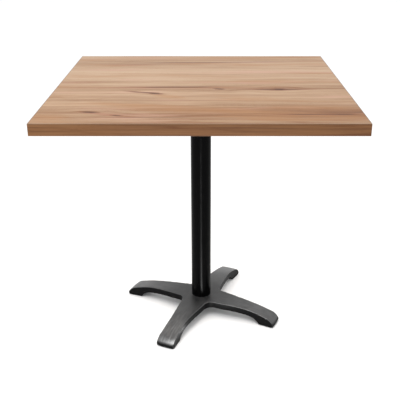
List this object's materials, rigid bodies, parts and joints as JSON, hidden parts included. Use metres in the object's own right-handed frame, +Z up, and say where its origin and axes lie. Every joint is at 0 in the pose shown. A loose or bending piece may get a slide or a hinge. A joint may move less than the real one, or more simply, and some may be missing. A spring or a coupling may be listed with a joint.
{
  "type": "bistro table",
  "caption": "Square bistro table with an oak-look laminated top, a round tubular column and a four-arm cast base on screw-levelling glides.",
  "frame": {"origin": "on the floor under the column's axis, with the four levelling glides screwed fully in", "axes": "+X along the top's grain and front edge, +Y towards the back edge, +Z up the column; the base is turned 24.5 degrees clockwise about +Z against the top"},
  "size_m": [0.8, 0.8, 0.73],
  "materials": {
    "oak_laminate": "oak-print decor laminate, satin",
    "oak_edge": "oak-print ABS edge band, satin",
    "chipboard": "raw chipboard",
    "backing_sheet": "plain melamine backing sheet",
    "column_coat": "black powder coat on steel tube, satin",
    "cast_coat": "black powder coat on cast iron, fine texture, satin",
    "zinc_steel": "bright zinc plate",
    "black_nylon": "moulded black nylon"
  },
  "bodies": {
    "frame": {"top_core": "chipboard", "top_backing": "backing_sheet", "top_laminate": "oak_laminate", "edge_band_front": "oak_edge", "edge_band_back": "oak_edge", "edge_band_left": "oak_edge", "edge_band_right": "oak_edge", "spider_plate": "cast_coat", "top_screw_1": "zinc_steel", "top_screw_2": "zinc_steel", "top_screw_3": "zinc_steel", "top_screw_4": "zinc_steel", "top_screw_5": "zinc_steel", "top_screw_6": "zinc_steel", "top_screw_7": "zinc_steel", "top_screw_8": "zinc_steel", "column_tube": "column_coat", "tie_rod": "zinc_steel", "top_washer": "zinc_steel", "top_nut": "zinc_steel", "base_washer": "zinc_steel", "base_nut": "zinc_steel", "base_casting": "cast_coat"},
    "glide_right": {"glide_pad_right": "black_nylon"},
    "stud_right": {"glide_stud_right": "zinc_steel"},
    "glide_back": {"glide_pad_back": "black_nylon"},
    "stud_back": {"glide_stud_back": "zinc_steel"},
    "glide_left": {"glide_pad_left": "black_nylon"},
    "stud_left": {"glide_stud_left": "zinc_steel"},
    "glide_front": {"glide_pad_front": "black_nylon"},
    "stud_front": {"glide_stud_front": "zinc_steel"}
  },
  "joints": [
    {"name": "level_right", "type": "slide", "parent": "frame", "child": "glide_right", "axis": [0, 0, -1], "range_m": [0, 0.008]},
    {"name": "stud_turn_right", "type": "hinge", "parent": "glide_right", "child": "stud_right", "pos_m": [0.2102, -0.09579, 0.0055], "axis": [0, 0, -1], "range_deg": [0, 2304]},
    {"name": "level_back", "type": "slide", "parent": "frame", "child": "glide_back", "axis": [0, 0, -1], "range_m": [0, 0.008]},
    {"name": "stud_turn_back", "type": "hinge", "parent": "glide_back", "child": "stud_back", "pos_m": [0.09579, 0.2102, 0.0055], "axis": [0, 0, -1], "range_deg": [0, 2304]},
    {"name": "level_left", "type": "slide", "parent": "frame", "child": "glide_left", "axis": [0, 0, -1], "range_m": [0, 0.008]},
    {"name": "stud_turn_left", "type": "hinge", "parent": "glide_left", "child": "stud_left", "pos_m": [-0.2102, 0.09579, 0.0055], "axis": [0, 0, -1], "range_deg": [0, 2304]},
    {"name": "level_front", "type": "slide", "parent": "frame", "child": "glide_front", "axis": [0, 0, -1], "range_m": [0, 0.008]},
    {"name": "stud_turn_front", "type": "hinge", "parent": "glide_front", "child": "stud_front", "pos_m": [-0.09579, -0.2102, 0.0055], "axis": [0, 0, -1], "range_deg": [0, 2304]}
  ],
  "couplings": [
    {"joint": "level_right", "follows": "stud_turn_right", "m_per_rad": 0.00019894},
    {"joint": "level_back", "follows": "stud_turn_back", "m_per_rad": 0.00019894},
    {"joint": "level_left", "follows": "stud_turn_left", "m_per_rad": 0.00019894},
    {"joint": "level_front", "follows": "stud_turn_front", "m_per_rad": 0.00019894}
  ]
}
